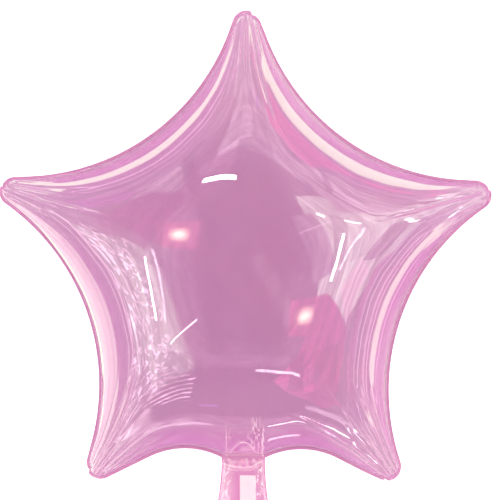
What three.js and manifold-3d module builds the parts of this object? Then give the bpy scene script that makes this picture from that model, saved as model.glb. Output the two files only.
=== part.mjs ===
// Five-pointed star balloon of clear pink film, filled and lying on its back.
// A front and a back panel of the same cut are welded together round the rim and run down into
// one flat tail, with a flat self-sealing valve between them.
// Millimetres. +Z is up and out of the front panel, +Y runs to the top point, and the tail is
// towards -Y. The origin is the middle of the flat that the back rests on, under the star's centre.

import * as THREE from 'three';
import { mergeVertices } from 'three/addons/utils/BufferGeometryUtils.js';
import Module from 'manifold-3d';

const wasm = await Module();
wasm.setup();

// Outline of the star, seen from the front
const REACH = 238; // centre to the end of a point
const WAIST = 151; // centre to the middle of a side
const TIP_RADIUS = 14; // rounding at the end of a point
const WELD_WIDTH = 3; // flat welded rim

// Bottom side, where two shoulders run down into the tail
const SHOULDER_OUT = 53.5; // centre line to the crest of a shoulder
const SHOULDER_DROP = 15.5; // how much lower the crest lies than the middle of a plain side
const SHOULDER_RADIUS = 74;

// Puffed form
const BULGE = 80; // how far a panel stands out from its rim at the star's centre
const FULLNESS = 0.43; // lower is flatter on top and steeper at the rim
const REST_RADIUS = 25; // round flat in the middle of the back

// Tail
const TAIL_ROOT_WIDTH = 40;
const TAIL_FLARE = 8; // how much further out each edge is at the end
const TAIL_LENGTH = 68;
const TAIL_CORNER = 5;
const TAIL_COVER = 1.2; // thickness left over the valve
const TAIL_LAP = 12; // how far the tail's layers run in past the rim

// Valve, a flat sleeve that ends in a narrower filling strip
const SLEEVE_MARGIN = 3; // from the sleeve to the tail's edge at the root
const SLEEVE_INSIDE = 29; // length above the root of the tail
const SLEEVE_OUTSIDE = 20; // length below it
const STRIP_WIDTH = 15;
const STRIP_SHORT = 4; // how far the filling strip ends short of the tail
const VALVE_THICKNESS = 0.8;

// Film edges and clearances
const RIM_THICKNESS = 0.8; // one panel's share of the rim's thickness
const PANEL_GAP = 0.3; // between the two panels
const VALVE_CLEARANCE = 0.3;

// Fineness of the mesh
const TIP_STEPS = 8;
const SIDE_STEPS = 14;
const RUN_STEPS = 3;
const SHOULDER_STEPS = 7;
const ROOT_STEPS = 4;
const RINGS = 14;
const RING_CROWDING = 1.6; // above 1, rings crowd towards the steep rim
const SWEEPS = 700;
const SWEEP_GAIN = 1.85;

const POINTS = 5;
const FIFTH = (2 * Math.PI) / POINTS;
const HALF_FIFTH = FIFTH / 2;
const LOWER_RIGHT = Math.PI / 2 - 2 * FIFTH;
const ARMS_ON_ONE_SIDE = 3; // lower, side and top
const HALF_GAP = PANEL_GAP / 2;
const POCKET_DEPTH = VALVE_THICKNESS / 2 + VALVE_CLEARANCE;
const SLEEVE_WIDTH = TAIL_ROOT_WIDTH - 2 * SLEEVE_MARGIN;
const RIM_TOP = HALF_GAP + RIM_THICKNESS;

const at = (distance, angle) =>
  new THREE.Vector2(distance * Math.cos(angle), distance * Math.sin(angle));
const angleFrom = (from, to) => Math.atan2(to.y - from.y, to.x - from.x);
const arcPoints = (centre, radius, from, to, steps) =>
  new THREE.ArcCurve(centre.x, centre.y, radius, from, to, to < from).getPoints(steps);

// Each side is one arc that bows inwards and touches the round ends of two points.
const tipOut = REACH - TIP_RADIUS;
const tipIn = tipOut * Math.cos(HALF_FIFTH);
const sideRadius =
  (WAIST ** 2 + tipOut ** 2 - 2 * WAIST * tipIn - TIP_RADIUS ** 2) / (2 * (tipIn + TIP_RADIUS - WAIST));
const sideOut = WAIST + sideRadius;
const tipSpread = angleFrom(at(tipOut, 0), at(sideOut, HALF_FIFTH));

// A shoulder is an arc with its crest nearest the star's centre; a straight run joins it to
// the round end of the lower point, touching both.
const shoulderCentre = new THREE.Vector2(SHOULDER_OUT, -(WAIST + SHOULDER_DROP + SHOULDER_RADIUS));
const lowerTip = at(tipOut, LOWER_RIGHT);
const runNormal =
  angleFrom(shoulderCentre, lowerTip) -
  Math.acos(-(SHOULDER_RADIUS + TIP_RADIUS) / shoulderCentre.distanceTo(lowerTip));

// Height at which the tail's root crosses the shoulders, on an outline drawn in by inset.
function rootLevel(inset) {
  const across = SHOULDER_OUT - TAIL_ROOT_WIDTH / 2;
  return shoulderCentre.y + Math.sqrt((SHOULDER_RADIUS + inset) ** 2 - across ** 2);
}

const ROOT = rootLevel(0);
const TAIL_END = ROOT - TAIL_LENGTH;

// Right half of the outline, from the tail's root up to the end of the top point.
function rightHalf(inset) {
  const root = new THREE.Vector2(TAIL_ROOT_WIDTH / 2, rootLevel(inset));
  const rootAngle = angleFrom(shoulderCentre, root);
  const points = arcPoints(
    shoulderCentre, SHOULDER_RADIUS + inset, rootAngle, runNormal + Math.PI, SHOULDER_STEPS,
  );
  const runStart = points.pop();
  const runEnd = lowerTip.clone().add(at(TIP_RADIUS - inset, runNormal));
  points.push(...new THREE.LineCurve(runStart, runEnd).getPoints(RUN_STEPS).slice(0, -1));

  for (let k = 0; k < ARMS_ON_ONE_SIDE; k++) {
    const arm = LOWER_RIGHT + k * FIFTH;
    const isTop = k === ARMS_ON_ONE_SIDE - 1;
    const from = k === 0 ? runNormal : arm - tipSpread;
    const to = isTop ? arm : arm + tipSpread;
    const steps = isTop ? TIP_STEPS / 2 : TIP_STEPS;
    points.push(...arcPoints(at(tipOut, arm), TIP_RADIUS - inset, from, to, steps));
    if (!isTop) {
      const middle = arm + HALF_FIFTH;
      const start = arm + tipSpread + Math.PI;
      const end = 2 * (middle + Math.PI) - start;
      const side = arcPoints(at(sideOut, middle), sideRadius + inset, start, end, SIDE_STEPS);
      points.push(...side.slice(1, -1));
    }
  }
  return points;
}

// Whole outline, anticlockwise from the right end of the tail's root.
function outline(inset) {
  const right = rightHalf(inset);
  const left = right.map((p) => new THREE.Vector2(-p.x, p.y)).reverse();
  const root = new THREE.LineCurve(left[left.length - 1], right[0]).getPoints(ROOT_STEPS);
  return [...right, ...left.slice(1), ...root.slice(1, -1)];
}

// Points of the puffed film: a centre, a circle of the resting flat's size, and rings that pass
// from that circle to the edge.
function discPoints(edge) {
  const points = [new THREE.Vector2(0, 0)];
  for (let ring = 0; ring <= RINGS; ring++) {
    const share = 1 - (1 - ring / RINGS) ** RING_CROWDING;
    edge.forEach((p) => points.push(p.clone().setLength(REST_RADIUS).lerp(p, share)));
  }
  return points;
}

// Triangles over those points, facing +Z.
function discTriangles(count) {
  const triangles = [];
  const index = (ring, i) => 1 + ring * count + (i % count);
  for (let i = 0; i < count; i++) {
    triangles.push([0, index(0, i), index(0, i + 1)]);
    for (let ring = 0; ring < RINGS; ring++) {
      triangles.push([index(ring, i), index(ring + 1, i), index(ring + 1, i + 1)]);
      triangles.push([index(ring, i), index(ring + 1, i + 1), index(ring, i + 1)]);
    }
  }
  return triangles;
}

// Heights of the blown-up film. A skin under even pressure on a frame of the rim's outline sags
// so that its curvature is the same all over. That sag is relaxed here on the triangles, and a
// power of it gives film that rises steeply from the rim.
function puffedHeights(points, triangles, free) {
  const weights = points.map(() => new Map());
  const load = new Float64Array(points.length);
  for (const corners of triangles) {
    const [a, b, c] = corners.map((i) => points[i]);
    const area = b.clone().sub(a).cross(c.clone().sub(a)) / 2;
    corners.forEach((here, k) => {
      const p = corners[(k + 1) % 3];
      const q = corners[(k + 2) % 3];
      const toP = points[p].clone().sub(points[here]);
      const toQ = points[q].clone().sub(points[here]);
      const weight = toP.dot(toQ) / (4 * area);
      weights[p].set(q, (weights[p].get(q) ?? 0) + weight);
      weights[q].set(p, (weights[q].get(p) ?? 0) + weight);
      load[here] += area / 3;
    });
  }
  const sag = new Float64Array(points.length);
  for (let sweep = 0; sweep < SWEEPS; sweep++) {
    for (let i = 0; i < free; i++) {
      let pull = load[i];
      let total = 0;
      for (const [j, weight] of weights[i]) {
        pull += weight * sag[j];
        total += weight;
      }
      sag[i] += SWEEP_GAIN * (pull / total - sag[i]);
    }
  }
  return Array.from(sag, (s) => BULGE * (Math.max(s, 0) / sag[0]) ** FULLNESS);
}

const innerEdge = outline(WELD_WIDTH);
const outerEdge = outline(0);
const edgeCount = outerEdge.length;
const disc = discPoints(innerEdge);
const filmTriangles = discTriangles(edgeCount);
const filmHeights = puffedHeights(disc, filmTriangles, disc.length - edgeCount);

// The resting flat is the level of the lowest point on its circle.
const restHeight = Math.min(...filmHeights.slice(1, 1 + edgeCount));

// One panel as a closed solid: puffed film, flat welded rim, edge and flat underside.
function puffedGeometry(highest) {
  const positions = disc.flatMap((p, i) => [p.x, p.y, RIM_TOP + Math.min(filmHeights[i], highest)]);
  const triangles = filmTriangles.slice();
  const weld = disc.length - edgeCount;
  const topEdge = disc.length;
  const lowEdge = topEdge + edgeCount;
  const underside = lowEdge + edgeCount;
  outerEdge.forEach((p) => positions.push(p.x, p.y, RIM_TOP));
  outerEdge.forEach((p) => positions.push(p.x, p.y, HALF_GAP));
  positions.push(0, 0, HALF_GAP);
  for (let i = 0; i < edgeCount; i++) {
    const next = (i + 1) % edgeCount;
    triangles.push([weld + i, topEdge + i, topEdge + next], [weld + i, topEdge + next, weld + next]);
    triangles.push([topEdge + i, lowEdge + i, lowEdge + next]);
    triangles.push([topEdge + i, lowEdge + next, topEdge + next]);
    triangles.push([underside, lowEdge + next, lowEdge + i]);
  }
  const geometry = new THREE.BufferGeometry();
  geometry.setAttribute('position', new THREE.Float32BufferAttribute(positions, 3));
  geometry.setIndex(triangles.flat());
  return geometry;
}

function plate(shape, bottom, top) {
  const options = { depth: top - bottom, bevelEnabled: false, curveSegments: TIP_STEPS };
  return new THREE.ExtrudeGeometry(shape, options).translate(0, 0, bottom);
}

// Tail's cut: narrow at the root, flaring to an end with round corners.
function tailShape() {
  const narrow = TAIL_ROOT_WIDTH / 2;
  const wide = narrow + TAIL_FLARE;
  const bend = ROOT - TAIL_LENGTH / 2;
  const shape = new THREE.Shape();
  shape.moveTo(narrow, ROOT + TAIL_LAP);
  shape.lineTo(-narrow, ROOT + TAIL_LAP);
  shape.lineTo(-narrow, ROOT);
  shape.quadraticCurveTo(-narrow, bend, -wide, TAIL_END + TAIL_CORNER);
  shape.quadraticCurveTo(-wide, TAIL_END, -wide + TAIL_CORNER, TAIL_END);
  shape.lineTo(wide - TAIL_CORNER, TAIL_END);
  shape.quadraticCurveTo(wide, TAIL_END, wide, TAIL_END + TAIL_CORNER);
  shape.quadraticCurveTo(narrow, bend, narrow, ROOT);
  return shape;
}

// Valve's cut, grown by margin on every side for the pocket that holds it.
function valveShape(margin) {
  const sleeve = SLEEVE_WIDTH / 2 + margin;
  const strip = STRIP_WIDTH / 2 + margin;
  const top = ROOT + SLEEVE_INSIDE + margin;
  const step = ROOT - SLEEVE_OUTSIDE - margin;
  const end = TAIL_END + STRIP_SHORT - margin;
  return new THREE.Shape([
    new THREE.Vector2(sleeve, top),
    new THREE.Vector2(-sleeve, top),
    new THREE.Vector2(-sleeve, step),
    new THREE.Vector2(-strip, step),
    new THREE.Vector2(-strip, end),
    new THREE.Vector2(strip, end),
    new THREE.Vector2(strip, step),
    new THREE.Vector2(sleeve, step),
  ]);
}

function solid(geometry) {
  const bare = geometry.clone();
  bare.deleteAttribute('normal');
  bare.deleteAttribute('uv');
  const merged = mergeVertices(bare, 1e-4);
  return new wasm.Manifold(new wasm.Mesh({
    numProp: 3,
    vertProperties: new Float32Array(merged.attributes.position.array),
    triVerts: new Uint32Array(merged.index.array),
  }));
}

function geometryOf(manifold) {
  const mesh = manifold.getMesh();
  const geometry = new THREE.BufferGeometry();
  geometry.setAttribute('position', new THREE.BufferAttribute(mesh.vertProperties, 3));
  geometry.setIndex(new THREE.BufferAttribute(mesh.triVerts, 1));
  geometry.computeVertexNormals();
  return geometry;
}

// A panel with its layer of the tail, and half of the pocket that the valve lies in.
function panelGeometry(highest) {
  const tail = solid(plate(tailShape(), HALF_GAP, POCKET_DEPTH + TAIL_COVER));
  const pocket = solid(plate(valveShape(VALVE_CLEARANCE), -POCKET_DEPTH, POCKET_DEPTH));
  return geometryOf(solid(puffedGeometry(highest)).add(tail).subtract(pocket));
}

const film = (color, opacity) =>
  new THREE.MeshStandardMaterial({ color, roughness: 0.06, metalness: 0, transparent: true, opacity });

function frontPanel() {
  const mesh = new THREE.Mesh(panelGeometry(BULGE), film(0xdc9cc8, 0.55));
  mesh.name = 'front_panel';
  return mesh;
}

// The back is the front turned over about the star's upright axis, with its middle pressed flat.
function backPanel() {
  const mesh = new THREE.Mesh(panelGeometry(restHeight), film(0xd48fc0, 0.6));
  mesh.rotation.y = Math.PI;
  mesh.name = 'back_panel';
  return mesh;
}

function fillingValve() {
  const half = VALVE_THICKNESS / 2;
  const mesh = new THREE.Mesh(plate(valveShape(0), -half, half), film(0xf9dcea, 0.7));
  mesh.name = 'filling_valve';
  return mesh;
}

const star = new THREE.Group();
star.position.z = RIM_TOP + restHeight;
star.add(frontPanel(), backPanel(), fillingValve());

const balloon = new THREE.Group();
balloon.add(star);

export default balloon;
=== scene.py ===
"""Star balloon of clear pink film, filled and lying on its back, in a pale studio.

Metres. +Z is up and out of the front panel, +Y runs to the top point, and the tail is towards -Y.
"""

import math

import bpy
import numpy as np
from bpy.props import FloatProperty, FloatVectorProperty, PointerProperty
from mathutils import Matrix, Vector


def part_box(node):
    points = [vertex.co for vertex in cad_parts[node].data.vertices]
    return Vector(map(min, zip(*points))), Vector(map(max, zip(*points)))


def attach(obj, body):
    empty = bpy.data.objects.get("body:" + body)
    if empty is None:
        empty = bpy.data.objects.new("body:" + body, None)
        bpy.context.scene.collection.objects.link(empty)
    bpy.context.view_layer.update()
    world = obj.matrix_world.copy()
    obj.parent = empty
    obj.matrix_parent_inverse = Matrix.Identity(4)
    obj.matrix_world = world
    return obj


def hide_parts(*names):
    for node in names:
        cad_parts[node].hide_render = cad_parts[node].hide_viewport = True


bl_info = {
    "name": "Star foil balloon",
    "version": (1, 0, 0),
    "blender": (4, 5, 0),
    "location": "3D Viewport > Sidebar > Balloon",
    "description": "Makes a filled star balloon of clear film, its valve and the studio round it",
    "category": "Add Mesh",
}

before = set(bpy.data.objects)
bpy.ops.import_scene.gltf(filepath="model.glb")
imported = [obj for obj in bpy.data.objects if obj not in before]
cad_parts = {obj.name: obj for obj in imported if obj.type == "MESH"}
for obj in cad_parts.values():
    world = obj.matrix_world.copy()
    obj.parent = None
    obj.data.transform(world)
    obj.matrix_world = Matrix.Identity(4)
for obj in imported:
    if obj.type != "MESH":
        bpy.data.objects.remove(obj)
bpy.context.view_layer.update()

# The seam lies half way between the two panels, and the front panel's lowest y is the tail's end.
FRONT_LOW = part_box("front_panel")[0]
BACK_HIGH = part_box("back_panel")[1]
SEAM = (FRONT_LOW.z + BACK_HIGH.z) / 2
TAIL_END = FRONT_LOW.y

FIFTH = 2 * math.pi / 5
ARMS = [math.pi / 2 + k * FIFTH for k in range(5)]
LOWER_RIGHT = math.pi / 2 - 2 * FIFTH

# How many steps the outline takes along each of its parts
FINE = {"tip": 48, "side": 104, "run": 26, "shoulder": 48, "root": 60}
COARSE = {"tip": 16, "side": 40, "run": 8, "shoulder": 20, "root": 8}
FLAT_RINGS = 9
FILM_RINGS = 78
WELD_RINGS = 3
RING_CROWDING = 1.7
TAIL_ROWS = 96
VALVE_ROWS = 220
VALVE_LOOP = 96

# How far outside the outline the skin's sources lie, and how wide a pressed line is
SOURCES_OUT = 0.012
PRESSED = 0.0006


def length(label, words, default):
    return FloatProperty(name=label, description=words, default=default, min=0.0, unit="LENGTH")


def colour(label, words, default):
    return FloatVectorProperty(
        name=label, description=words, default=default, size=3, min=0.0, max=1.0, subtype="COLOR"
    )


def share(label, words, default, top=1.0):
    return FloatProperty(name=label, description=words, default=default, min=0.0, max=top)


class StarSizes(bpy.types.PropertyGroup):
    reach: length("Reach", "Centre to the end of a point", 0.238)
    waist: length("Waist", "Centre to the middle of a side", 0.151)
    tip_radius: length("Tip radius", "Rounding at the end of a point", 0.014)
    weld_width: length("Weld width", "Flat welded rim", 0.003)
    shoulder_out: length("Shoulder out", "Centre line to the crest of a shoulder", 0.0535)
    shoulder_drop: length("Shoulder drop", "Crest below the middle of a plain side", 0.0155)
    shoulder_radius: length("Shoulder radius", "Arc that runs down into the tail", 0.074)
    bulge: length("Bulge", "How far a panel stands out from its rim", 0.080)
    fullness: share("Fullness", "Lower is flatter on top and steeper at the rim", 0.43)
    back_fullness: share("Back fullness", "The same for the back, which the floor presses", 0.49)
    rest_radius: length("Rest radius", "Round flat in the middle of the back", 0.025)
    gap: length("Layer gap", "From the seam to a panel's rim", 0.0003)


class TailSizes(bpy.types.PropertyGroup):
    root_width: length("Root width", "Width where the tail leaves the star", 0.040)
    flare: length("Flare", "How much further out each edge is at the end", 0.008)
    corner: length("Corner", "Rounding at the end", 0.005)
    cover: length("Cover", "How far a layer lies from the seam, over the valve", 0.0012)
    sleeve_width: length("Sleeve width", "Width of the valve's sleeve", 0.034)
    sleeve_inside: length("Sleeve inside", "Sleeve above the root of the tail", 0.029)
    sleeve_outside: length("Sleeve outside", "Sleeve below the root of the tail", 0.020)
    strip_width: length("Strip width", "Width of the filling strip", 0.015)
    strip_short: length("Strip short", "How far the strip ends short of the tail", 0.004)


class FilmLook(bpy.types.PropertyGroup):
    front: colour("Front film", "Colour of the front film", (0.45, 0.09, 0.35))
    back: colour("Back film", "Colour of the back film", (0.45, 0.085, 0.35))
    warm: colour("Warm tint", "What the film drifts towards in places", (0.50, 0.10, 0.33))
    # Painted light: the steep film gets a deeper, brighter tint for how clear film looks at a
    # grazing angle
    steep: colour("Steep film", "Colour where the film turns down to the rim", (0.66, 0.105, 0.53))
    weld: colour("Weld", "Colour of the welded rim", (0.62, 0.05, 0.38))
    tail: colour("Tail", "Colour of the flat film of the tail", (0.78, 0.15, 0.52))
    pale: colour("Pale lines", "Colour of the pressed lines and of the valve", (0.97, 0.74, 0.78))
    opacity: share("Opacity", "Share of the light that a film stops", 0.62)
    mirror: share("Mirror", "Metal share of the film's shine", 0.15)
    # Painted light: the pale lines give off light of their own, as emission, and are not lit
    painted_glow: share("Painted_line_glow", "Light that the pale lines scatter back", 0.35)
    gloss: share("Roughness", "Roughness of the film", 0.03)


class StudioLook(bpy.types.PropertyGroup):
    floor: colour("Floor", "Colour of the floor", (0.92, 0.92, 0.92))
    strength: share("Strength", "Factor on every light", 1.0, 10.0)
    glow: share("Floor glow", "Light that the white floor gives off", 0.80, 10.0)


# Plan of the star

def at(distance, angle):
    return distance * np.array([math.cos(angle), math.sin(angle)])


def arc(centre, radius, start, end, steps):
    """Points centre + radius * (cos a, sin a) for a from start to end."""
    a = np.linspace(start, end, steps + 1)[:, None]
    return centre + radius * np.concatenate([np.cos(a), np.sin(a)], axis=1)


def heading(v):
    return math.atan2(v[1], v[0])


def side_arc(star):
    """Centre distance and radius of the arc that bows inwards and touches two round points."""
    tip_out = star.reach - star.tip_radius
    tip_in = tip_out * math.cos(FIFTH / 2)
    top = star.waist**2 + tip_out**2 - 2 * star.waist * tip_in - star.tip_radius**2
    radius = top / (2 * (tip_in + star.tip_radius - star.waist))
    return star.waist + radius, radius


def root_level(star, tail, inset=0.0):
    """Height at which the tail's root crosses the shoulders."""
    across = star.shoulder_out - tail.root_width / 2
    low = star.waist + star.shoulder_drop + star.shoulder_radius
    return math.sqrt((star.shoulder_radius + inset) ** 2 - across**2) - low


def outline(star, tail, inset, fine):
    """Closed plan of the star, anticlockwise from the right end of the tail's root.

    Arc of the shoulder, straight run, round point, arc of the side, round point, arc of the side,
    half of the top point, then the mirror image and the straight root.
    """
    tip_out = star.reach - star.tip_radius
    side_out, side_radius = side_arc(star)
    spread = heading(at(side_out, FIFTH / 2) - at(tip_out, 0.0))
    low = star.waist + star.shoulder_drop + star.shoulder_radius
    shoulder = np.array([star.shoulder_out, -low])
    lower_tip = at(tip_out, LOWER_RIGHT)
    apart = lower_tip - shoulder
    touch = (star.shoulder_radius + star.tip_radius) / np.hypot(*apart)
    run = heading(apart) - math.acos(-touch)
    root = np.array([tail.root_width / 2, root_level(star, tail, inset)])
    bend = star.shoulder_radius + inset
    parts = [arc(shoulder, bend, heading(root - shoulder), run + math.pi, fine["shoulder"])[:-1]]
    start = shoulder + at(bend, run + math.pi)
    end = lower_tip + at(star.tip_radius - inset, run)
    parts.append(start + (end - start) * np.linspace(0, 1, fine["run"] + 1)[:-1, None])
    for k in range(3):
        arm = LOWER_RIGHT + k * FIFTH
        first = run if k == 0 else arm - spread
        last = arm if k == 2 else arm + spread
        steps = fine["tip"] // 2 if k == 2 else fine["tip"]
        parts.append(arc(at(tip_out, arm), star.tip_radius - inset, first, last, steps))
        if k < 2:
            middle = arm + FIFTH / 2
            begin = arm + spread + math.pi
            finish = 2 * (middle + math.pi) - begin
            side = arc(at(side_out, middle), side_radius + inset, begin, finish, fine["side"])
            parts.append(side[1:-1])
    right = np.concatenate(parts)
    left = right[::-1] * [-1, 1]
    across = left[-1] + (right[0] - left[-1]) * np.linspace(0, 1, fine["root"] + 1)[:, None]
    return np.concatenate([right, left[1:], across[1:-1]])


# Height of the blown-up film

class Puff:
    """Sag s of an evenly loaded skin on the rim: its curvature is -1 all over, and 0 on the rim.

    s = c - r^2 / 4 + sum of q_j * log(distance to source j), with the sources on a wider outline
    and the weights q fitted so that s is 0 on the rim. Height = bulge * (s / s at centre)^fullness.
    """

    def __init__(self, star, tail, fullness):
        self.bulge = star.bulge
        self.fullness = fullness
        self.sources = outline(star, tail, -SOURCES_OUT, COARSE)
        rim = outline(star, tail, star.weld_width, {k: v + 4 for k, v in COARSE.items()})
        known = (rim**2).sum(axis=1) / 4
        self.weights = np.linalg.lstsq(self.terms(rim), known, rcond=1e-10)[0]
        self.middle = float(self.sag(np.zeros((1, 2)))[0])

    def terms(self, plan):
        apart = plan[:, None, :] - self.sources[None, :, :]
        logs = 0.5 * np.log((apart**2).sum(axis=2))
        return np.concatenate([logs, np.ones((len(plan), 1))], axis=1)

    def sag(self, plan):
        return self.terms(plan) @ self.weights - (plan**2).sum(axis=1) / 4

    def heights(self, plan):
        """Heights on a grid of rings; what is left over on the last ring is taken off."""
        rings, count = plan.shape[:2]
        sag = np.stack([self.sag(ring) for ring in plan]) / self.middle
        near = np.linspace(0, 1, rings)[:, None] ** 6
        sag = np.clip(sag - sag[-1] * near, 0, None)
        return self.bulge * sag**self.fullness


def smooth(low, high, value):
    """0 below low, 1 above high and t^2 * (3 - 2 t) in between."""
    t = np.clip((value - low) / (high - low), 0, 1)
    return t * t * (3 - 2 * t)


def bell(off, width):
    """exp(-(off / width)^2): 1 on a line, near 0 two widths away from it."""
    return np.exp(-((off / width) ** 2))


def ripple(x, y, size, seed, waves=7):
    """Smooth uneven field: the mean of sines of about that wavelength in seeded directions."""
    rng = np.random.default_rng(seed)
    total = 0.0
    for turn, stretch, phase in rng.random((waves, 3)):
        pace = 2 * math.pi / (size * (0.7 + 0.8 * stretch))
        angle = 2 * math.pi * turn
        total = total + np.sin(pace * (x * math.cos(angle) + y * math.sin(angle)) + 6.3 * phase)
    return total / math.sqrt(waves)


def in_arm(plan, angle):
    """Distances along and across an arm."""
    ahead = plan[..., 0] * math.cos(angle) + plan[..., 1] * math.sin(angle)
    across = plan[..., 1] * math.cos(angle) - plan[..., 0] * math.sin(angle)
    return ahead, across


def half_width(star, ahead):
    """Half the arm's width: a circle at its end, then the gap between the two side arcs."""
    tip_out = star.reach - star.tip_radius
    side_out, radius = side_arc(star)
    along = side_out * math.cos(FIFTH / 2)
    side = side_out * math.sin(FIFTH / 2)
    bowed = side - np.sqrt(np.clip(radius**2 - (ahead - along) ** 2, 0, None))
    end = np.sqrt(np.clip(star.tip_radius**2 - (ahead - tip_out) ** 2, 1e-8, None))
    return np.where(ahead > tip_out, end, bowed)


# Where each point's end is pinched: place across the arm, depth of the notch, how much further
# in the film ends beyond it (a negative step is on the other side), and how bright the painted
# highlights on its creases are. Top point first.
PINCHES = [
    (-0.0048, 0.0016, -0.0026, 0.45),
    (-0.0012, 0.0012, -0.0010, 0.20),
    (-0.0050, 0.0014, -0.0020, 1.00),
    (-0.0075, 0.0020, -0.0012, 0.80),
    (0.0010, 0.0008, 0.0012, 0.35),
]


def pinched(star, plan):
    """How far each point of the plan is drawn in along its arm by the fold at the arm's end."""
    move = np.zeros_like(plan)
    for angle, (place, notch, step, _) in zip(ARMS, PINCHES):
        ahead, across = in_arm(plan, angle)
        close = smooth(star.reach - 0.024, star.reach - 0.006, ahead)
        beyond = smooth(-0.001, 0.001, np.sign(step) * (across - place))
        drawn = notch * bell(across - place, 0.0011) + abs(step) * beyond
        move -= (close * drawn)[..., None] * at(1.0, angle)
    return move


def folds(star, plan, seed):
    """Height of the folds that fan out of each point, and the painted highlights on their creases.

    A fold is a narrow bell across its own line, which keeps its share of the arm's half width,
    and fades out with its distance from the end. Its painted highlight is a thinner bell on the
    same line.
    """
    total = np.zeros(plan.shape[:-1])
    pale = np.zeros(plan.shape[:-1])
    for k, angle in enumerate(ARMS):
        rng = np.random.default_rng(seed + k)
        ahead, across = in_arm(plan, angle)
        depth = star.reach - ahead
        half = half_width(star, ahead)
        pinch = PINCHES[k][0] / star.tip_radius
        places = np.concatenate([[pinch], np.linspace(-0.86, 0.86, 12) + rng.normal(0, 0.04, 12)])
        for i, place in enumerate(places):
            reach = 0.120 if i == 0 else rng.uniform(0.045, 0.120)
            height = -0.0016 if i == 0 else rng.uniform(0.0004, 0.0010) * (-1) ** i
            width = rng.uniform(0.0005, 0.0009) + 0.007 * np.clip(depth, 0, 0.1)
            begun = smooth(0.002, 0.010, depth)
            off = across - place * half
            fade = begun * (1 - smooth(0.35 * reach, reach, depth))
            total += height * bell(off, width) * fade
            # Painted highlight along the fold's crease, as pale tone for the line field
            thin = 0.0005 + 0.002 * np.clip(depth, 0, 0.1)
            long_fade = begun * (1 - smooth(0.6 * reach, 1.1 * reach, depth))
            tone = PINCHES[k][3] * rng.uniform(0.0, 0.5)
            pale += tone * bell(off, thin) * long_fade
    return total, np.clip(pale, 0, 0.6)


def normals_of(points):
    """Unit normals of a grid of rings, from the cross product of its two directions."""
    wrapped = np.concatenate([points[:, -1:], points, points[:, :1]], axis=1)
    around = wrapped[:, 2:] - wrapped[:, :-2]
    out = np.gradient(points, axis=0)
    normal = np.cross(out, around)
    return normal / np.maximum(np.linalg.norm(normal, axis=2, keepdims=True), 1e-12)


# Meshes

def make_mesh(name, points, quads, triangles, fields):
    """Mesh object of the given faces, smooth, with one number per vertex for each field."""
    mesh = bpy.data.meshes.new(name)
    corners = np.concatenate([quads.ravel(), triangles.ravel()]).astype(np.int32)
    counts = np.concatenate([np.full(len(quads), 4), np.full(len(triangles), 3)])
    starts = np.concatenate([[0], np.cumsum(counts)[:-1]]).astype(np.int32)
    mesh.vertices.add(len(points))
    mesh.vertices.foreach_set("co", points.astype(np.float32).ravel())
    mesh.loops.add(len(corners))
    mesh.loops.foreach_set("vertex_index", corners)
    mesh.polygons.add(len(counts))
    mesh.polygons.foreach_set("loop_start", starts)
    mesh.update(calc_edges=True)
    mesh.shade_smooth()
    for field, values in fields.items():
        layer = mesh.attributes.new(field, "FLOAT", "POINT")
        layer.data.foreach_set("value", values.astype(np.float32).ravel())
    obj = bpy.data.objects.new(name, mesh)
    bpy.context.scene.collection.objects.link(obj)
    return obj


def finish_piece(obj, material, node):
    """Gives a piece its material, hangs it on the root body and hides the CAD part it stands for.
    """
    obj.data.materials.append(material)
    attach(obj, "root")
    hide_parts(node)


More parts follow.
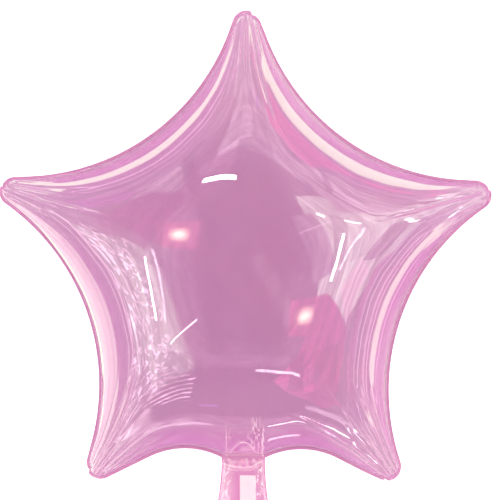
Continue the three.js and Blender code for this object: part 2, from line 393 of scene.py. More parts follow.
def tail_layer(star, tail, row, seed, window):
    """One layer of the tail below its root row, as rows of points, with its fields.

    x = place across * half width, where the half width grows with the square of the distance
    and is rounded off at the end. Height = a low crown over the valve + gathers and creases.
    """
    root = root_level(star, tail)
    long = root - TAIL_END
    narrow = tail.root_width / 2
    across = (row[:, 0] / narrow)[None, :]
    down = long * (1 - (1 - np.linspace(0, 1, TAIL_ROWS + 1)[1:, None]) ** 1.35)
    half = narrow + tail.flare * np.clip(down / (long - tail.corner), 0, 1) ** 2
    past = np.clip(down - (long - tail.corner), 0, tail.corner)
    half = half - tail.corner + np.sqrt(np.clip(tail.corner**2 - past**2, 0, None))
    x = across * half
    y = np.broadcast_to(root - down, x.shape)

    # edge is 0 on the welded edges only; side is 0 in the middle only
    edge = 1 - smooth(0.82, 0.97, np.abs(across) + 0 * x)
    side = smooth(0.30, 0.75, np.abs(across))
    crown = star.gap + tail.cover * smooth(0.0, 0.006, down) * edge

    # Long soft pleats, sharp creases at the sides that fade downwards, and a mottled top
    pleat = ripple(x * 1.4, y * 0.22, 0.014, seed) * (0.15 + 0.85 * side)
    crease = 1 - 1.9 * np.abs(ripple(x * 2.2, y * 0.5, 0.012, seed + 5, 6))
    creased = np.clip(crease, 0, 1) ** 2 * side * (1.15 - smooth(0.010, 0.060, down))
    top_band = 1 - smooth(0.004, 0.010, down)
    mottle = ripple(x * 1.3, y * 1.5, 0.010, seed + 9) * top_band
    relief = 0.00040 * pleat + 0.0010 * creased + 0.00025 * mottle
    height = crown + edge * smooth(0.0, 0.003, down) * relief

    # Two pressed lines that sag in the middle, and painted highlights on the creases' ridges
    lean = np.where(x < 0, 0.0042, 0.0085)
    smile = 0.0092 - lean * (x / narrow) ** 2 + 0.0004 * ripple(x, 0 * x, 0.010, 81, 4)
    line = bell(down - smile, PRESSED)
    line = line + 0.5 * bell(down - smile - 0.0022 + 0.0003 * crease, PRESSED)
    ridges = np.clip(creased, 0, 1) ** 2 * edge
    line = line * edge * 0.85 + 1.6 * ridges * smooth(0.003, 0.008, down)
    height = height + 0.0007 * np.clip(line, 0, 1) * edge

    # Colour only: the valve's strip behind the window, cloudy film above the lines, and a painted
    # sheen on the crumpled sides, stronger on the left
    if window:
        inside = smooth(-0.0032, -0.0026, x) * (1 - smooth(0.0112, 0.0118, x))
        line = np.maximum(line, 1.3 * inside * smooth(0.0160, 0.0168, down))
    band = 1 - smooth(smile - 0.001, smile, down)
    cloud = np.clip(ripple(x * 1.2, y * 1.4, 0.009, seed + 14) + 0.3, 0, 1)
    line = line + 0.4 * band * cloud * edge
    line = line + np.where(x < 0, 0.28, 0.04) * side * edge * smooth(0.007, 0.012, down)
    weld = smooth(0.88, 0.95, np.abs(across) + 0 * x) * 0.9
    fields = {"weld": weld, "line": np.clip(line, 0, 1.3), "tail": 1.0 - 0.3 * side + 0 * x}
    return np.stack([x, y, height], axis=2), fields


def sleeve_lines(star, tail, points):
    """Where the front film is painted pale over the sleeve's welds, with painted highlights on its
    creases: 1 on a line, 0 between.

    Two straight sides, an arch above the root, the root itself and uneven ripples to the right.
    """
    x, up = points[..., 0], points[..., 1] - root_level(star, tail)
    within = smooth(0.000, 0.003, up) * (1 - smooth(0.026, 0.036, up))
    left = bell(x + 0.0155, PRESSED) * within * 0.45
    right = bell(x - 0.0177 - 0.0004 * np.sin(up * 700), 0.0005) * within
    arch = 0.0172 - 0.0115 * (x / 0.0115) ** 2
    bowed = bell(up - arch, PRESSED) * (1 - smooth(0.0115, 0.0130, np.abs(x)))
    root = 0.4 * bell(up - 0.0028, PRESSED) * (1 - smooth(0.0185, 0.0195, np.abs(x)))
    squiggle = np.clip(1 - 2.6 * np.abs(ripple(x * 2.2, up, 0.013, 75, 5)), 0, 1)
    squiggle = squiggle * smooth(0.004, 0.011, x) * (1 - smooth(0.0172, 0.0180, x))
    faint = np.clip(1 - 3.0 * np.abs(ripple(x * 1.6, up, 0.016, 76, 5)), 0, 1)
    faint = faint * (1 - smooth(0.0160, 0.0170, np.abs(x))) * 0.35
    creases = 0.9 * squiggle * (1 - smooth(0.036, 0.044, up))
    creases = (creases + faint * (1 - smooth(0.022, 0.034, up))) * smooth(0.003, 0.006, up)
    above_arch = up > arch * (np.abs(x) < 0.012)
    return np.clip(left + right + bowed + root + creases * above_arch, 0, 1) * (up > 0)


def panel_surface(star, tail, puff, seed, flat):
    """The film of one panel, facing +Z from the seam at 0: puffed disc, welded rim and tail.

    The disc is a grid of rings round the centre: circles of the resting flat's size first, then
    rings that pass from that circle to the rim. Folds and ripples move it along its normals.
    """
    inner = outline(star, tail, star.weld_width, FINE)
    outer = outline(star, tail, 0.0, FINE)
    count = len(inner)
    circle = star.rest_radius * inner / np.linalg.norm(inner, axis=1, keepdims=True)
    near = np.linspace(0, 1, FLAT_RINGS + 1)[1:, None, None] * circle
    u = np.linspace(0, 1, FILM_RINGS + 1)[1:, None, None]
    plan = np.concatenate([near, circle + (inner - circle) * (1 - (1 - u) ** RING_CROWDING)])
    height = puff.heights(plan)
    top = star.bulge
    if flat:
        top = float(height[FLAT_RINGS - 1].min())
        height = np.minimum(height, top) * (SEAM - 2 * star.gap) / top
        top = SEAM - 2 * star.gap
    points = np.concatenate([plan, (star.gap + height)[..., None]], axis=2)
    settled = smooth(0.0, 0.004, height) * (1 - smooth(top - 0.004, top - 0.001, height) * flat)
    bumps, creases = folds(star, plan, seed)
    outer_part = 0.25 + 0.75 * smooth(0.95, 0.65, height / top)
    bumps += 0.00016 * outer_part * ripple(plan[..., 0], plan[..., 1], 0.075, seed + 11)
    bumps += 0.00003 * outer_part * ripple(plan[..., 0], plan[..., 1], 0.024, seed + 12, 11)
    points += normals_of(points) * (bumps * settled)[..., None]
    points[..., :2] += pinched(star, plan)

    # Welded rim, crinkled at the points
    steps = np.linspace(0, 1, WELD_RINGS + 1)[1:, None, None]
    rim = inner + (outer - inner) * steps
    tipped = smooth(star.reach - 0.030, star.reach - 0.010, np.linalg.norm(rim, axis=2))
    lift = 0.0006 * tipped * ripple(rim[..., 0], rim[..., 1], 0.009, seed + 3) * steps[..., 0]
    rim_height = (star.gap + np.abs(lift))[..., None]
    rings = np.concatenate([points, np.concatenate([rim + pinched(star, rim), rim_height], axis=2)])
    total = len(rings)

    # Where the film is welded, where it is plain tail, where pale lines and painted highlights
    # show, and where it is steep (for a painted deeper tint)
    weld = np.zeros(rings.shape[:2])
    weld[-WELD_RINGS:] = 1.0
    weld[-WELD_RINGS - 1] = 0.5
    at_root = 1 - smooth(0.45 * tail.root_width, 0.52 * tail.root_width, np.abs(rings[..., 0]))
    at_root = at_root * (rings[..., 1] < root_level(star, tail) + 0.0045)
    weld = weld * (1 - 0.9 * at_root)
    # Painted on the front film: pale lines over the sleeve's welds, and highlights on its creases
    line = np.zeros(rings.shape[:2]) if flat else sleeve_lines(star, tail, rings)
    # Painted highlights along the folds' creases
    line[: len(creases)] += creases * settled * (0.5 if flat else 1.0)
    # Painted light: how steep the film is, for a deeper, brighter tint that stands in for its
    # grazing-angle look
    steep = 1 - smooth(0.45, 0.97, np.abs(normals_of(rings)[..., 2]))
    root_row = np.concatenate([np.arange(count - FINE["root"], count), [0]])
    tail_points, tail_fields = tail_layer(star, tail, rings[-1][root_row], seed + 20, not flat)

    apex = [[0.0, 0.0, star.gap + top]]
    vertices = np.concatenate([apex, rings.reshape(-1, 3), tail_points.reshape(-1, 3)])
    fields = {
        "weld": np.concatenate([[0.0], weld.ravel(), tail_fields["weld"].ravel()]),
        "line": np.concatenate([[0.0], line.ravel(), tail_fields["line"].ravel()]),
        "steep": np.concatenate([[0.0], steep.ravel(), 0 * tail_fields["line"].ravel()]),
        "tail": np.concatenate([[0.0], at_root.ravel(), tail_fields["tail"].ravel()]),
    }
    index = 1 + np.arange(total * count).reshape(total, count)
    turned = np.roll(index, -1, axis=1)
    quads = np.stack([index[:-1], index[1:], turned[1:], turned[:-1]], axis=2).reshape(-1, 4)
    fan = np.stack([np.zeros(count, int), index[0], turned[0]], axis=1)
    below = 1 + total * count + np.arange(tail_points.shape[0] * len(root_row))
    rows = np.concatenate([index[-1][root_row][None], below.reshape(-1, len(root_row))])
    strip = np.stack([rows[:-1, :-1], rows[1:, :-1], rows[1:, 1:], rows[:-1, 1:]], axis=2)
    return vertices, np.concatenate([quads, strip.reshape(-1, 4)]), fan, fields


def valve_surface(star, tail):
    """Flat two-layer sleeve that narrows into the filling strip, closed at both ends.

    Its section is a flattened loop, x = half width * c and z = thickness * s, where (c, s) runs
    round a squared-off circle. The half width steps down below the root of the tail.
    """
    root = root_level(star, tail)
    top = root + tail.sleeve_inside
    low = TAIL_END + tail.strip_short
    y = np.linspace(top, low, VALVE_ROWS)[:, None]
    step = root - tail.sleeve_outside
    wide, narrow = tail.sleeve_width / 2, tail.strip_width / 2
    above_step = smooth(step - 0.0006, step + 0.0006, y)
    half = narrow + (wide - narrow) * above_step
    a = np.linspace(0, 2 * math.pi, VALVE_LOOP, endpoint=False)[None, :]
    squared = 0.55
    c = np.sign(np.cos(a)) * np.abs(np.cos(a)) ** squared
    s = np.sign(np.sin(a)) * np.abs(np.sin(a)) ** squared
    x = half * c + 0.0026 * (1 - above_step)

    # Inside the star the sleeve has a little gas in it, curls, and is crumpled to the right
    inside = smooth(root + 0.002, root + 0.012, y)
    seam = smooth(0.86, 0.94, np.abs(c)) + 0 * x
    ends = smooth(0.0, 0.0012, np.minimum(top - y, y - low))
    thick = (0.00028 + 0.0006 * inside * (1 - seam)) * ends
    curl = inside * 0.0016 * ripple(x * 1.3, y * 0.5, 0.030, 71)
    crumple = np.clip(1 - np.abs(ripple(x * 2.2, y * 0.8, 0.012, 72)), 0, 1) ** 3
    side = smooth(0.25, 0.75, x / wide) * inside
    z = thick * s * (1 + 1.8 * crumple * side) + curl + 0.0012 * crumple * side

    # The arched weld, the welded edges and painted highlights on the crumples to the right
    arch = root + 0.0105 - 0.0052 * (x / 0.0105) ** 2
    bowed = bell(y - arch, 0.00055) * (np.abs(x) < 0.0125)
    ridges = bell((np.abs(c) - 0.90) * half, 0.0005)
    line = np.clip(bowed + 0.8 * ridges + 0.9 * crumple**2 * side, 0, 1)
    points = np.stack([x, y + 0 * x, z + 0.0002 * bowed * np.sign(s)], axis=2)

    ring = VALVE_ROWS * VALVE_LOOP
    index = np.arange(ring).reshape(VALVE_ROWS, VALVE_LOOP)
    turned = np.roll(index, -1, axis=1)
    quads = np.stack([index[:-1], index[1:], turned[1:], turned[:-1]], axis=2).reshape(-1, 4)
    first = np.stack([np.full(VALVE_LOOP, ring), index[0], turned[0]], axis=1)
    last = np.stack([np.full(VALVE_LOOP, ring + 1), turned[-1], index[-1]], axis=1)
    caps = np.array([points[0].mean(axis=0), points[-1].mean(axis=0)])
    vertices = np.concatenate([points.reshape(-1, 3), caps])
    strip = (1 - smooth(step - 0.001, step + 0.001, y)) + 0 * x
    fields = {
        "line": np.concatenate([line.ravel(), [0.0, 0.0]]),
        "strip": np.concatenate([strip.ravel(), [0.0, 1.0]]),
    }
    return vertices, quads, np.concatenate([first, last]), fields


# Materials

BLACK = (0.0, 0.0, 0.0)
WHITE = (1.0, 1.0, 1.0, 1.0)
WHITER = (1.0, 0.93, 0.97)
FILM_IOR = 1.6
COAT_IOR = 2.2
VALVE_IOR = 1.5


class Value:
    """A socket that can be used in sums: an expression on values adds its Math nodes."""

    def __init__(self, graph, socket):
        self.graph = graph
        self.socket = socket

    def maths(self, operation, *others, clamp=False):
        settings = {"operation": operation, "use_clamp": clamp}
        node = self.graph.add("ShaderNodeMath", settings, *others)
        return Value(self.graph, node.outputs[0])

    def __add__(self, other):
        return self.maths("ADD", self, other)

    def __sub__(self, other):
        return self.maths("SUBTRACT", self, other)

    def __mul__(self, other):
        return self.maths("MULTIPLY", self, other)

    def __rsub__(self, other):
        return self.maths("SUBTRACT", other, self)

    def __truediv__(self, other):
        return self.maths("DIVIDE", self, other)

    def __abs__(self):
        return self.maths("ABSOLUTE", self)

    __radd__ = __add__
    __rmul__ = __mul__

    def clipped(self):
        return self.maths("ADD", self, 0.0, clamp=True)

    def between(self, low, high):
        """0 below low, 1 above high, smooth in between."""
        settings = {"interpolation_type": "SMOOTHSTEP"}
        node = self.graph.add("ShaderNodeMapRange", settings, self, low, high, 0.0, 1.0)
        return Value(self.graph, node.outputs[0])


class Graph:
    """A node tree, built from values and nodes."""

    def __init__(self, tree):
        self.tree = tree
        self.tree.nodes.clear()

    def add(self, kind, settings=None, *values, **named):
        """Adds a node; settings are set first, then the values or links of its sockets."""
        node = self.tree.nodes.new(kind)
        for key, value in (settings or {}).items():
            if key == "stops":
                self.set_ramp(node.color_ramp, value)
            else:
                setattr(node, key, value)
        sockets = list(zip([s for s in node.inputs if s.enabled], values))
        sockets += [(node.inputs[key.replace("_", " ")], value) for key, value in named.items()]
        for socket, value in sockets:
            self.fill(socket, value)
        return node

    def fill(self, socket, value):
        """Links a socket to a value of the graph, or sets it to a plain one."""
        value = value.socket if isinstance(value, Value) else value
        if isinstance(value, bpy.types.NodeSocket):
            self.tree.links.new(value, socket)
        else:
            socket.default_value = value

    def set_ramp(self, ramp, stops):
        for element, (position, tone) in zip(ramp.elements, (stops[0], stops[-1])):
            element.position = position
            element.color = (*tone, 1)
        for position, tone in stops[1:-1]:
            ramp.elements.new(position).color = (*tone, 1)

    def dot(self, vector, constant):
        settings = {"operation": "DOT_PRODUCT"}
        return Value(self, self.add("ShaderNodeVectorMath", settings, vector, constant).outputs[1])

    def field(self, name):
        return Value(self, self.add("ShaderNodeAttribute", {"attribute_name": name}).outputs["Fac"])

    def place(self, size=(1, 1, 1), turn=(0, 0, 0)):
        """Object coordinates, stretched and turned."""
        here = self.add("ShaderNodeTexCoord").outputs["Object"]
        return self.add("ShaderNodeMapping", {}, Vector=here, Scale=size, Rotation=turn).outputs[0]

    def noise(self, where, scale, detail=2.0, rough=0.5, warp=0.0):
        node = self.add(
            "ShaderNodeTexNoise", {}, Vector=where, Scale=scale, Detail=detail,
            Roughness=rough, Distortion=warp,
        )
        return Value(self, node.outputs[0])

    def blend(self, share, first, second):
        """Colour between first and second."""
        node = self.add("ShaderNodeMix", {"data_type": "RGBA"})
        self.fill(node.inputs[0], share)
        for socket, tone in ((node.inputs[6], first), (node.inputs[7], second)):
            plain = not isinstance(tone, bpy.types.NodeSocket)
            self.fill(socket, (*tone, 1.0) if plain else tone)
        return node.outputs[2]

    def multiply(self, first, second, share):
        """First colour times the second, in part."""
        node = self.add("ShaderNodeMix", {"data_type": "RGBA", "blend_type": "MULTIPLY"})
        node.inputs[0].default_value = share
        self.tree.links.new(first, node.inputs[6])
        self.tree.links.new(second, node.inputs[7])
        return node.outputs[2]

    def bump(self, height, strength, distance):
        node = self.add("ShaderNodeBump", {}, Strength=strength, Distance=distance, Height=height)
        return node.outputs[0]


class Finish(Graph):
    """A material with a Principled shader at its output."""

    def __init__(self, name):
        self.material = bpy.data.materials.new(name)
        self.material.use_nodes = True
        super().__init__(self.material.node_tree)
        self.shader = self.add("ShaderNodeBsdfPrincipled")
        self.add("ShaderNodeOutputMaterial", {}, self.shader.outputs[0])

    def feed(self, **named):
        for key, value in named.items():
            self.fill(self.shader.inputs[key.replace("_", " ")], value)


def film_material(name, tint, look, seed):
    """Clear glossy film: drifting tint, draw lines, pressed weld and pale lines, with painted
    highlights and a painted glow.
    """
    g = Finish(name)
    weld = g.field("weld")
    line = g.field("line")
    drift = g.noise(g.place(turn=(0, 0, seed)), 5.5, 3.0, 0.55, 0.6)
    drawn = g.noise(g.place((14, 0.8, 1), (0, 0, 0.3 + seed)), 22.0, 2.0)

    # The tint drifts, the draw lines are a little paler, and each field has its own colour; the
    # steep film's tint and the pale lines' highlights are painted light
    base = g.blend(drift.between(0.35, 0.72), tint, look.warm)
    base = g.blend((drawn - 0.5).clipped() * 0.12, base, look.pale)
    base = g.blend(g.field("steep"), base, look.steep)
    base = g.blend(g.field("tail"), base, look.tail)
    base = g.blend(weld * 0.85, base, look.weld)
    base = g.blend((line * 0.85).clipped(), base, look.pale)
    # Painted light: every pale line, highlights included, glows through the emission below
    glow = g.blend(line.clipped(), BLACK, look.pale)

    # The weld is rougher and knurled; it and the pale lines shine less like metal
    speck = g.noise(g.place(), 420.0, 2.0)
    rough = g.noise(g.place(), 30.0, 3.0) * 0.02 + weld * (0.10 + speck * 0.12) + look.gloss * 0.5
    metal = (1 - (weld + line).clipped() * 0.85) * look.mirror
    knurl = g.add("ShaderNodeTexVoronoi", {"feature": "F1"}, Vector=g.place(), Scale=900.0)
    press = Value(g, knurl.outputs[0]) * weld * 0.4 + drawn * 0.06 + drift * 0.3
    g.feed(
        Base_Color=base, Roughness=rough, Metallic=metal, Alpha=look.opacity, IOR=FILM_IOR,
        Coat_Weight=1.0, Coat_Roughness=0.015, Coat_IOR=COAT_IOR,
        Normal=g.bump(press, 0.25, 0.0004), Emission_Strength=look.painted_glow, Emission_Color=glow,
    )
    return g.material


def valve_material(look):
    """Pale clear film with whiter welds, painted highlights on its crumples and fine handling
    marks.
    """
    g = Finish("valve_film")
    line = g.field("line")
    strip = g.field("strip")
    haze = g.noise(g.place((3, 1, 1)), 60.0, 4.0, 0.6, 0.4)
    pink = tuple(0.4 * a + 0.6 * b for a, b in zip(look.front, look.pale))
    base = g.blend((haze * 0.6 + strip).clipped(), pink, look.pale)
    # Whiter on the welds, and painted highlights on the crumples
    base = g.blend(line, base, WHITER)
    rough = haze * 0.15 + line * 0.1 + 0.12
    stops = (line * 0.5 + strip * 0.3 + haze * 0.06 + 0.03).clipped()
    g.feed(
        Base_Color=base, Roughness=rough, Alpha=stops, IOR=VALVE_IOR,
        Coat_Weight=0.6, Coat_Roughness=0.08, Normal=g.bump(haze, 0.3, 0.0006),
    )
    return g.material


def floor_material(look):
    """Matt white floor with a faint grain, which gives off a little light of its own."""
    g = Finish("floor")
    grain = g.noise(g.place(), 12.0, 4.0, 0.6)
    base = g.blend(grain * 0.05, look.floor, (0.86, 0.86, 0.86))
    g.feed(Base_Color=base, Roughness=0.9, Emission_Color=WHITE, Emission_Strength=look.glow)
    return g.material


# Operators

def settings():
    scene = bpy.context.scene
    return scene.balloon_star, scene.balloon_tail, scene.balloon_look, scene.balloon_studio


class BALLOON_OT_front_panel(bpy.types.Operator):
    """Make the front panel of clear film with its welded rim and its layer of the tail"""

    bl_idname = "balloon.front_panel"
    bl_label = "Front panel"

    def execute(self, context):
        star, tail, look, _ = settings()
        puff = Puff(star, tail, star.fullness)
        points, quads, fan, fields = panel_surface(star, tail, puff, 3, False)
        points = points + [0, 0, SEAM]
        obj = make_mesh("front_film", points, quads, fan, fields)
        film = film_material("front_film", look.front, look, 0.2)
        finish_piece(obj, film, "front_panel")
        return {"FINISHED"}


class BALLOON_OT_back_panel(bpy.types.Operator):
    """Make the back panel, the same cut turned over, with its middle pressed flat"""

    bl_idname = "balloon.back_panel"
    bl_label = "Back panel"

    def execute(self, context):
        star, tail, look, _ = settings()
        puff = Puff(star, tail, star.back_fullness)
        points, quads, fan, fields = panel_surface(star, tail, puff, 43, True)
        points = points * [1, 1, -1] + [0, 0, SEAM]
        obj = make_mesh("back_film", points, quads[:, ::-1], fan[:, ::-1], fields)
        film = film_material("back_film", look.back, look, 1.4)
        finish_piece(obj, film, "back_panel")
        return {"FINISHED"}


class BALLOON_OT_filling_valve(bpy.types.Operator):
    """Make the flat valve that lies between the layers of the tail"""

    bl_idname = "balloon.filling_valve"
    bl_label = "Filling valve"

    def execute(self, context):
        star, tail, look, _ = settings()
        points, quads, caps, fields = valve_surface(star, tail)
        obj = make_mesh("valve_sleeve", points + [0, 0, SEAM], quads, caps, fields)
        finish_piece(obj, valve_material(look), "filling_valve")
        return {"FINISHED"}


# Tubes of light: name, both ends as degrees from +X and degrees of height, width, radiance, colour
DISTANCE = 3.0
TUBES = [
    ("bar", (119, 54.3), (98.3, 60.0), 0.075, 34.0, (1.0, 0.99, 0.97)),
    ("left_tube", (176, 55.4), (-156.8, 51.7), 0.045, 24.0, (1.0, 0.99, 1.0)),
    ("right_tube", (21.8, 55.9), (-8.1, 59.1), 0.055, 20.0, (1.0, 0.99, 1.0)),
    ("far_lamp", (42, 58.4), (38, 57.0), 0.05, 14.0, (1.0, 0.98, 0.98)),
    ("thin_lamp", (32, 52), (26, 48), 0.035, 12.0, (1.0, 0.98, 0.98)),
    ("side_lamp", (17, 36), (6, 33), 0.06, 14.0, (1.0, 0.98, 0.90)),
    ("low_lamp", (-84, 16.0), (-74, 22.0), 0.035, 13.0, (1.0, 1.0, 0.86)),
    ("lower_lamp", (-82.5, -9.0), (-75.5, -9.0), 0.28, 3.6, (1.0, 1.0, 0.72)),
    ("rail", (-145, 55.0), (-142, 69.0), 0.022, 9.0, (1.0, 0.92, 0.96)),
    ("corner_lamp", (-57, 29.0), (-62, 27.5), 0.04, 14.0, (1.0, 0.96, 0.96)),
]
# A broad light that the film doesn't mirror
SOFT = ("overhead", (0, 60), (180, 60), 3.0, 1.5, (1.0, 1.0, 1.0))

# Soft panels in the surroundings: degrees from +X, degrees of height, half width, half height,
# turn in degrees, softness, radiance, colour. Half sizes are tangents of the angle.
WALLS = [
    (88, 84, 0.30, 0.52, 2, 0.12, 0.12, (1.0, 0.84, 1.0)),
    (-26, 79, 0.20, 0.04, 60, 0.02, 0.45, (1.0, 1.0, 1.0)),
    (-95, 45, 0.50, 0.30, 0, 0.06, 0.10, (1.0, 0.5, 1.0)),
    (-158, 46, 0.36, 0.30, 0, 0.04, 1.55, (0.74, 1.0, 0.74)),
    (-143, 35, 0.14, 0.12, 0, 0.03, 0.60, (1.0, 1.0, 1.0)),
    (12, 49, 0.40, 0.32, 0, 0.01, 2.00, (0.76, 1.0, 0.76)),
    (4, 40, 0.14, 0.09, -20, 0.008, 0.70, (1.0, 1.0, 1.0)),
    (-12, 46, 0.07, 0.10, -30, 0.006, 2.1, (1.0, 0.96, 0.86)),
    (20, 66, 0.20, 0.07, 0, 0.008, 0.80, (1.0, 1.0, 1.0)),
    (84, 42, 0.34, 0.18, 0, 0.02, 1.15, (1.0, 1.0, 1.0)),
    (46, 40, 0.16, 0.17, -20, 0.01, 1.10, (1.0, 1.0, 0.95)),
    (52, 36, 0.012, 0.15, 18, 0.004, 0.40, (1.0, 0.8, 1.0)),
    (40, 44, 0.16, 0.010, 8, 0.004, 0.50, (1.0, 0.8, 1.0)),
    (128, 42, 0.05, 0.15, 8, 0.006, 1.00, (1.0, 1.0, 0.92)),
    (134, 44, 0.03, 0.11, 4, 0.006, 0.95, (1.0, 1.0, 0.92)),
    (143, 32, 0.14, 0.08, 0, 0.04, 0.90, (1.0, 0.30, 1.0)),
    (-22, 32, 0.16, 0.06, 0, 0.02, 0.85, (1.0, 0.50, 0.80)),
    (76, 44, 0.10, 0.10, 0, 0.008, 0.75, (1.0, 1.0, 1.0)),
    (123, 52, 0.03, 0.40, 0, 0.008, 0.15, (1.0, 0.8, 1.0)),
    (58, 24, 0.20, 0.07, -101, 0.01, 1.30, (1.0, 0.14, 0.45)),
    (-45, 51, 0.30, 0.18, 8, 0.008, 1.00, (1.0, 0.20, 0.47)),
    (-30, 65, 0.12, 0.085, -61, 0.008, 1.00, (1.0, 0.24, 0.45)),
    (-114, 23, 0.30, 0.085, -38, 0.03, 2.2, (1.0, 1.0, 0.95)),
    (-62, 33, 0.13, 0.045, -22, 0.008, 1.30, (1.0, 1.0, 1.0)),
    (162, 20, 0.20, 0.06, 0, 0.03, 1.20, (1.0, 1.0, 0.90)),
    (18, 20, 0.22, 0.07, 0, 0.03, 1.50, (1.0, 1.0, 0.90)),
    (150, 50, 0.22, 0.16, 0, 0.02, 0.40, (1.0, 0.30, 0.80)),
    (151, 66, 0.13, 0.085, 116, 0.02, 0.90, (1.0, 0.34, 0.50)),
]
# Rows of the same kind that lie over the ceiling's tiles and the streaks
BANDS = [
    (151, 66, 0.040, 0.022, 116, 0.035, 9.0, (1.0, 0.85, 0.50)),
    (-29, 65.5, 0.040, 0.018, -61, 0.03, 8.0, (1.0, 0.88, 0.55)),
    (122, -8, 0.44, 0.13, -12, 0.03, 3.6, (0.56, 1.0, 0.50)),
    (54, -5, 0.50, 0.18, -30, 0.03, 3.6, (0.56, 1.0, 0.50)),
    (198, -35, 0.52, 0.70, 0, 0.05, 2.3, (0.78, 1.0, 0.62)),
    (198, -9, 0.52, 0.022, 0, 0.012, 1.7, (0.95, 0.80, 0.75)),
    (198, -26, 0.52, 0.035, 0, 0.025, 2.0, (0.90, 0.82, 0.75)),
    (198, -50, 0.52, 0.060, 0, 0.04, 2.0, (0.90, 0.82, 0.75)),
    (-18, -3, 0.45, 0.11, 0, 0.04, 3.3, (0.70, 1.0, 0.58)),
    (-18, 9, 0.45, 0.012, 3, 0.008, 2.4, (1.0, 1.0, 0.85)),
    (-18, 15, 0.45, 0.03, 0, 0.02, 1.8, (1.0, 0.90, 0.85)),
    (-16, 23, 0.45, 0.012, -3, 0.008, 2.0, (1.0, 1.0, 0.95)),
    (-14, 29, 0.40, 0.010, 4, 0.008, 1.8, (0.9, 0.9, 1.0)),
    (-22, -18, 0.30, 0.016, 4, 0.012, 2.2, (1.0, 0.8, 0.8)),
    (-160, 21, 0.40, 0.010, 3, 0.008, 2.2, (1.0, 1.0, 0.9)),
    (-166, 27, 0.34, 0.012, -5, 0.008, 2.6, (1.0, 1.0, 0.9)),
    (125, 11, 0.30, 0.014, 3, 0.008, 2.0, (1.0, 0.9, 1.0)),
    (126, 18, 0.30, 0.010, -3, 0.008, 1.6, (1.0, 0.9, 1.0)),
    (-90, -24, 0.34, 0.60, 0, 0.10, 0.40, (1.0, 0.15, 0.75)),
    (-101, 38, 0.045, 0.010, 0, 0.008, 1.6, (0.45, 0.25, 1.0)),
    (75, 34, 0.010, 0.035, 0, 0.008, 1.5, (0.45, 0.25, 1.0)),
]
# Tone of the surroundings from straight down, 0, past the horizon at 0.5 to straight up, 1
HORIZON = [
    (0.0, (0.48, 0.20, 0.32)),
    (0.30, (0.48, 0.20, 0.32)),
    (0.48, (0.50, 0.24, 0.38)),
    (0.60, (0.55, 0.42, 0.50)),
    (0.75, (0.52, 0.40, 0.48)),
    (1.0, (0.22, 0.18, 0.22)),
]
BACKDROP = (0.94, 0.94, 0.94, 1.0)
FLOOR_HALF = 6.0

# The picture: its width in pixels, where the star's middle is in it, and metres for each pixel
PICTURE = 500
MIDDLE = (244.9, 268.4)
PIXEL = 0.000922
CAMERA_HEIGHT = 2.2
CAMERA_TURN = 0.008


def direction(azimuth, lift):
    """Unit vector from degrees round from +X and degrees of height."""
    a, e = math.radians(azimuth), math.radians(lift)
    return np.array([math.cos(a) * math.cos(e), math.sin(a) * math.cos(e), math.sin(e)])


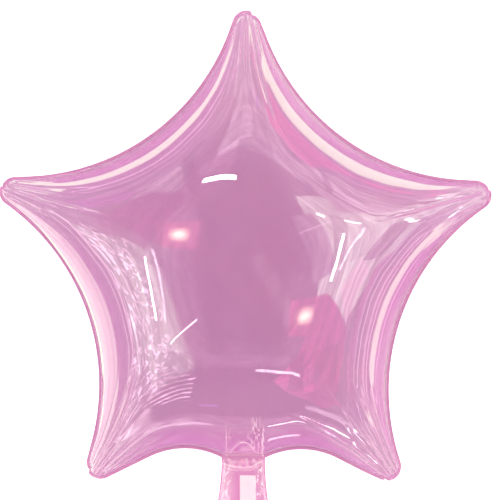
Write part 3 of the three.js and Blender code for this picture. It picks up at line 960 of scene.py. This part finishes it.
class BALLOON_OT_studio(bpy.types.Operator):
    """Make the floor, the surroundings, the lights and the camera"""

    bl_idname = "balloon.studio"
    bl_label = "Studio"

    def execute(self, context):
        scene = context.scene
        studio = settings()[3]
        self.floor(studio)
        self.surroundings(scene, studio)
        for tube in TUBES:
            self.tube(scene, studio, *tube)
        self.tube(scene, studio, *SOFT).visible_glossy = False
        self.camera(scene)
        scene.view_settings.view_transform = "Standard"
        scene.view_settings.look = "None"
        return {"FINISHED"}

    def floor(self, studio):
        corners = FLOOR_HALF * np.array([[-1, -1, 0], [1, -1, 0], [1, 1, 0], [-1, 1, 0]])
        quad = np.array([[0, 1, 2, 3]])
        obj = make_mesh("floor", corners, quad, np.zeros((0, 3), int), {})
        obj.data.materials.append(floor_material(studio))
        obj.visible_glossy = False

    def surroundings(self, scene, studio):
        """Soft panels before a tone that changes with height, streaked along the horizon."""
        world = bpy.data.worlds.new("studio")
        scene.world = world
        world.use_nodes = True
        g = Graph(world.node_tree)
        seen = g.add("ShaderNodeTexCoord").outputs["Generated"]
        split = g.add("ShaderNodeSeparateXYZ", {}, seen)
        x, y, z = (Value(g, socket) for socket in split.outputs)
        lift = z.maths("ARCSINE", z)
        round_about = y.maths("ARCTAN2", y, x)
        level = lift * (1 / math.pi) + 0.5
        tone = g.add("ShaderNodeValToRGB", {"stops": HORIZON}, level).outputs[0]
        tone = self.panels(g, seen, tone, WALLS)
        tone = self.glints(g, seen, tone)

        # Tiles of a level ceiling: (x, y) / z, held off the horizon
        above = z.maths("MAXIMUM", z, 0.12)
        ceiling = g.add("ShaderNodeCombineXYZ", {}, x / above, y / above, 0.0).outputs[0]
        tiles = g.add(
            "ShaderNodeTexBrick", {"offset": 0.37}, Vector=ceiling, Color1=(0.45, 0.45, 0.45, 1),
            Color2=(1.50, 1.50, 1.50, 1), Mortar=(0.70, 0.70, 0.70, 1), Scale=1.0,
            Mortar_Size=0.004, Mortar_Smooth=0.4, Bias=0.0, Brick_Width=0.115, Row_Height=0.43,
        ).outputs[0]

        # Streaks that run round, and unevenness of the light itself
        place = g.add("ShaderNodeCombineXYZ", {}, round_about * 0.8, lift * 14.0, 0.0).outputs[0]
        streak = g.noise(place, 1.6, 3.0, 0.6).between(0.32, 0.68) * 0.6 + 0.7
        lines = g.add("ShaderNodeCombineColor", {}, streak, streak, streak).outputs[0]
        tone = g.multiply(g.multiply(tone, tiles, 0.8), lines, 1.0)
        tone = self.panels(g, seen, tone, BANDS)
        fine = g.add("ShaderNodeCombineXYZ", {}, round_about * 0.3, lift * 9.0, 0.0).outputs[0]
        strength = (g.noise(fine, 2.2, 2.0, 0.5) * 0.9 + 0.55) * studio.strength
        light = g.add("ShaderNodeBackground", {}, tone, strength)
        plain = g.add("ShaderNodeBackground", {}, BACKDROP, 1.0)
        looks = g.add("ShaderNodeLightPath").outputs["Is Camera Ray"]
        both = g.add("ShaderNodeMixShader", {}, looks, light.outputs[0], plain.outputs[0])
        g.add("ShaderNodeOutputWorld", {}, both.outputs[0])

    def panels(self, g, seen, tone, rows):
        """Lays soft panels over a tone, one row after another."""
        for azimuth, height, wide, tall, turn, soft, radiance, tint in rows:
            inside = self.panel(g, seen, azimuth, height, wide, tall, turn, soft)
            tone = g.blend(inside, tone, tuple(radiance * c for c in tint))
        return tone

    def glints(self, g, seen, tone):
        """Small bright specks to the left and a louvred patch below them."""
        inside = self.panel(g, seen, -160, 42, 0.36, 0.24, 0, 0.06)
        short = g.add("ShaderNodeMapping", {}, Vector=seen, Scale=(1.0, 2.2, 0.9)).outputs[0]
        speck = g.noise(short, 19.0, 3.0, 0.7, 0.6).between(0.54, 0.59)
        tone = g.blend(inside * speck, tone, (4.0, 4.0, 3.9))
        slats = self.panel(g, seen, -125, 45, 0.15, 0.13, 20, 0.01)
        quarter = (0, 0, math.radians(90))
        turned = g.add("ShaderNodeMapping", {}, Vector=seen, Rotation=quarter).outputs[0]
        wave = g.add("ShaderNodeTexWave", {}, turned, 9.0, 1.2, 2.0, 3.0)
        bright = Value(g, wave.outputs[1]).between(0.60, 0.90)
        return g.blend(slats * bright, tone, (2.6, 2.4, 2.4))

    def panel(self, g, seen, azimuth, height, wide, tall, turn, soft):
        """1 inside a soft-edged rectangle that faces the star from that direction."""
        ahead = direction(azimuth, height)
        level = direction(azimuth + 90, 0)
        upward = np.cross(ahead, level)
        t = math.radians(turn)
        first = level * math.cos(t) + upward * math.sin(t)
        second = upward * math.cos(t) - level * math.sin(t)
        depth = g.dot(seen, tuple(ahead))
        near = depth.maths("MAXIMUM", depth, 0.001)
        across = abs(g.dot(seen, tuple(first)) / near)
        along = abs(g.dot(seen, tuple(second)) / near)
        beside = across.between(wide - soft, wide + soft)
        beyond = along.between(tall - soft, tall + soft)
        return (1 - beside) * (1 - beyond) * depth.maths("GREATER_THAN", depth, 0.0)

    def tube(self, scene, studio, name, start, end, wide, radiance, tone):
        """A flat area light between two directions, turned towards the middle of the star."""
        a, b = DISTANCE * direction(*start), DISTANCE * direction(*end)
        long = float(np.linalg.norm(b - a))
        middle = (a + b) / 2
        x = (b - a) / long
        z = middle - x * (middle @ x)
        z = z / np.linalg.norm(z)
        data = bpy.data.lights.new(name, "AREA")
        data.shape = "RECTANGLE"
        data.size, data.size_y = long, wide
        data.energy = radiance * studio.strength * math.pi * long * wide
        data.color = tone
        obj = bpy.data.objects.new(name, data)
        turn = Matrix(np.stack([x, np.cross(z, x), z], axis=1).tolist())
        obj.matrix_world = Matrix.Translation(middle + [0, 0, SEAM]) @ turn.to_4x4()
        obj.visible_camera = False
        scene.collection.objects.link(obj)
        return obj

    def camera(self, scene):
        """Straight above: lens = sensor * height / width seen, moved by the middle's offset."""
        data = bpy.data.cameras.new("camera")
        data.lens = data.sensor_width * CAMERA_HEIGHT / (PICTURE * PIXEL)
        data.clip_start, data.clip_end = 0.1, 30.0
        obj = bpy.data.objects.new("camera", data)
        across = (PICTURE / 2 - MIDDLE[0]) * PIXEL
        upward = (MIDDLE[1] - PICTURE / 2) * PIXEL
        x = across * math.cos(CAMERA_TURN) - upward * math.sin(CAMERA_TURN)
        y = across * math.sin(CAMERA_TURN) + upward * math.cos(CAMERA_TURN)
        obj.location = (x, y, SEAM + CAMERA_HEIGHT)
        obj.rotation_euler = (0, 0, CAMERA_TURN)
        scene.collection.objects.link(obj)
        scene.camera = obj


class BALLOON_PT_sidebar(bpy.types.Panel):
    bl_label = "Star balloon"
    bl_idname = "BALLOON_PT_sidebar"
    bl_space_type = "VIEW_3D"
    bl_region_type = "UI"
    bl_category = "Balloon"

    def draw(self, context):
        scene = context.scene
        groups = (scene.balloon_star, scene.balloon_tail, scene.balloon_look, scene.balloon_studio)
        for group in groups:
            box = self.layout.box()
            for key in group.__annotations__:
                box.prop(group, key)
        for operator in OPERATORS:
            self.layout.operator(operator.bl_idname)


GROUPS = {
    "balloon_star": StarSizes,
    "balloon_tail": TailSizes,
    "balloon_look": FilmLook,
    "balloon_studio": StudioLook,
}
OPERATORS = (
    BALLOON_OT_back_panel,
    BALLOON_OT_filling_valve,
    BALLOON_OT_front_panel,
    BALLOON_OT_studio,
)


def register():
    for group in (*GROUPS.values(), *OPERATORS, BALLOON_PT_sidebar):
        bpy.utils.register_class(group)
    for key, group in GROUPS.items():
        setattr(bpy.types.Scene, key, PointerProperty(type=group))


def unregister():
    for key in GROUPS:
        delattr(bpy.types.Scene, key)
    for group in (BALLOON_PT_sidebar, *OPERATORS, *GROUPS.values()):
        bpy.utils.unregister_class(group)


def main():
    register()
    bpy.ops.balloon.back_panel()
    bpy.ops.balloon.filling_valve()
    bpy.ops.balloon.front_panel()
    bpy.ops.balloon.studio()
    bpy.context.view_layer.update()


if __name__ == "__main__":
    main()
